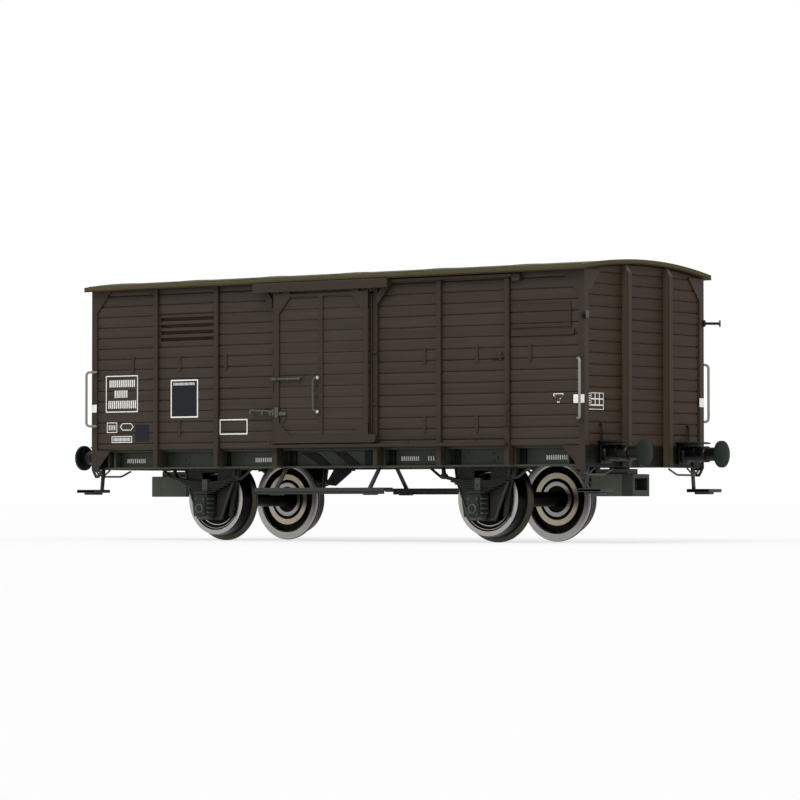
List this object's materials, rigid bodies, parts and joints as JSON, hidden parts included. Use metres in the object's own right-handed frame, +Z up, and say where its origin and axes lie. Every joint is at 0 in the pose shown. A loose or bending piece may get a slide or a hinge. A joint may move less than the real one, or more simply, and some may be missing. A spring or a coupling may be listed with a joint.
{
  "type": "model railway covered goods wagon",
  "caption": "Scale model covered goods wagon: planked body with sliding doors and arched roof on a two-axle underframe with buffers and swinging coupler pockets.",
  "frame": {"origin": "centre of the floor rectangle under the wagon, at the lowest point of the wheel flanges", "axes": "+X along the wagon to the front end, +Y to the far side, +Z up"},
  "size_m": [0.1068, 0.0346, 0.0406],
  "materials": {
    "body_paint": "satin brown paint over moulded planks",
    "roof_paint": "matt olive grey paint",
    "frame_plastic": "matt black moulded plastic",
    "pocket_plastic": "satin black moulded plastic",
    "floor_plastic": "matt brown moulded planks",
    "wire": "painted wire",
    "wheel_metal": "turned and blackened",
    "axle_steel": "blackened steel",
    "ballast_steel": "plain sheet steel"
  },
  "bodies": {
    "wagon": {"roof": "roof_paint", "near_wall_left": "body_paint", "near_wall_right": "body_paint", "near_doorway": "body_paint", "far_wall_left": "body_paint", "far_wall_right": "body_paint", "far_doorway": "body_paint", "front_end_wall": "body_paint", "rear_end_wall": "body_paint", "near_side_posts": "body_paint", "far_side_posts": "body_paint", "corner_posts": "body_paint", "end_posts": "body_paint", "near_door_canopy": "body_paint", "far_door_canopy": "body_paint", "near_door_rails": "body_paint", "far_door_rails": "body_paint", "louvre_vents": "body_paint", "sheet_hatches": "body_paint", "load_floor": "floor_plastic", "ballast_weight": "ballast_steel", "chassis_floor": "frame_plastic", "near_solebar": "frame_plastic", "far_solebar": "frame_plastic", "front_headstock": "frame_plastic", "rear_headstock": "frame_plastic", "front_axle_guards": "frame_plastic", "rear_axle_guards": "frame_plastic", "front_leaf_springs": "frame_plastic", "rear_leaf_springs": "frame_plastic", "front_axle_boxes": "frame_plastic", "rear_axle_boxes": "frame_plastic", "brake_links": "frame_plastic", "brake_crank": "frame_plastic", "buffer_barrels": "frame_plastic", "buffer_heads": "frame_plastic", "buffer_steps": "frame_plastic", "coupler_pivots": "frame_plastic", "corner_steps": "frame_plastic", "near_footboard": "frame_plastic", "far_footboard": "frame_plastic", "handrails": "wire", "lamp_irons": "frame_plastic", "towing_eyes": "body_paint"},
    "front_wheelset": {"front_wheels": "wheel_metal", "front_axle": "axle_steel"},
    "rear_wheelset": {"rear_wheels": "wheel_metal", "rear_axle": "axle_steel"},
    "near_sliding_door": {"near_door": "body_paint", "near_door_fittings": "wire"},
    "far_sliding_door": {"far_door": "body_paint", "far_door_fittings": "wire"},
    "front_pocket": {"front_coupler_pocket": "pocket_plastic"},
    "rear_pocket": {"rear_coupler_pocket": "pocket_plastic"}
  },
  "joints": [
    {"name": "front_wheelset_roll", "type": "hinge", "parent": "wagon", "child": "front_wheelset", "pos_m": [0.02585, 0, 0.0063], "axis": [0, 1, 0], "continuous": true},
    {"name": "rear_wheelset_roll", "type": "hinge", "parent": "wagon", "child": "rear_wheelset", "pos_m": [-0.02585, 0, 0.0063], "axis": [0, 1, 0], "continuous": true},
    {"name": "near_door_slide", "type": "slide", "parent": "wagon", "child": "near_sliding_door", "axis": [1, 0, 0], "range_m": [0, 0.0182]},
    {"name": "far_door_slide", "type": "slide", "parent": "wagon", "child": "far_sliding_door", "axis": [-1, 0, 0], "range_m": [0, 0.0182]},
    {"name": "front_pocket_swing", "type": "hinge", "parent": "wagon", "child": "front_pocket", "pos_m": [0.0368, 0, 0.0102], "axis": [0, 0, 1], "range_deg": [-12, 12]},
    {"name": "rear_pocket_swing", "type": "hinge", "parent": "wagon", "child": "rear_pocket", "pos_m": [-0.0368, 0, 0.0102], "axis": [0, 0, 1], "range_deg": [-12, 12]}
  ]
}
